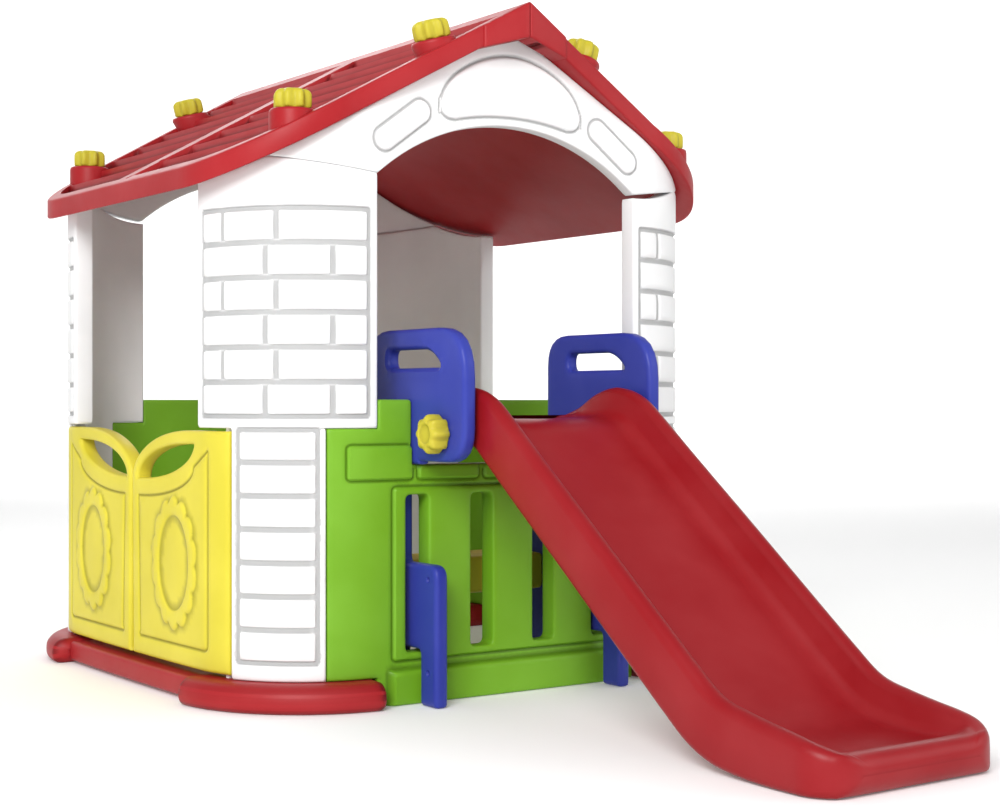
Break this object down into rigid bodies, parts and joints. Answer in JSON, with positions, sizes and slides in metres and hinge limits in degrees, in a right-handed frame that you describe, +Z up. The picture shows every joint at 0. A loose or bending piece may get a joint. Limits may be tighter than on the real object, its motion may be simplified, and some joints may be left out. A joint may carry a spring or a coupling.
{
  "type": "plastic playhouse",
  "caption": "Children's plastic garden playhouse with rounded brick-pattern pillars, a pitched roof, swing half-doors and a slide out of the front.",
  "frame": {"origin": "on the ground under the middle of the overall box", "axes": "+Z up, -Y towards the slide and the arched front, -X towards the swing doors"},
  "size_m": [1.179, 2.16, 1.3119],
  "materials": {
    "white": "satin moulded polyethylene",
    "red": "satin moulded polyethylene",
    "slide_red": "smooth moulded polyethylene",
    "green": "satin moulded polyethylene",
    "door_yellow": "satin moulded polyethylene",
    "knob_yellow": "satin moulded polyethylene",
    "blue": "satin moulded polyethylene"
  },
  "bodies": {
    "house": {"corner_bumper_front_left": "red", "pillar_front_left": "white", "corner_bumper_front_right": "red", "pillar_front_right": "white", "corner_bumper_back_left": "red", "pillar_back_left": "white", "corner_bumper_back_right": "red", "pillar_back_right": "white", "door_sill": "red", "gable_front": "white", "gable_back": "white", "front_fence": "green", "back_panel": "green", "right_panel": "green", "roof_left": "red", "roof_right": "red", "roof_knob_left_front_low": "knob_yellow", "roof_knob_left_front_high": "knob_yellow", "roof_knob_left_back_low": "knob_yellow", "roof_knob_left_back_high": "knob_yellow", "roof_knob_right_front_low": "knob_yellow", "roof_knob_right_front_high": "knob_yellow", "roof_knob_right_back_low": "knob_yellow", "roof_knob_right_back_high": "knob_yellow", "door_pin_front_bottom": "white", "door_pin_front_top": "white", "door_pin_back_bottom": "white", "door_pin_back_top": "white", "slide": "slide_red", "side_frame_left": "blue", "side_frame_right": "blue", "step_lower": "door_yellow", "step_upper": "door_yellow", "slide_knob_left": "knob_yellow", "slide_knob_right": "knob_yellow"},
    "door_front_leaf": {"door_front": "door_yellow"},
    "door_back_leaf": {"door_back": "door_yellow"}
  },
  "joints": [
    {"name": "door_front_swing", "type": "hinge", "parent": "house", "child": "door_front_leaf", "pos_m": [-0.51237, 0.1116, 0.28], "axis": [0, 0, 1], "range_deg": [-48, 88]},
    {"name": "door_back_swing", "type": "hinge", "parent": "house", "child": "door_back_leaf", "pos_m": [-0.51237, 0.8524, 0.28], "axis": [0, 0, -1], "range_deg": [-85, 88]}
  ]
}
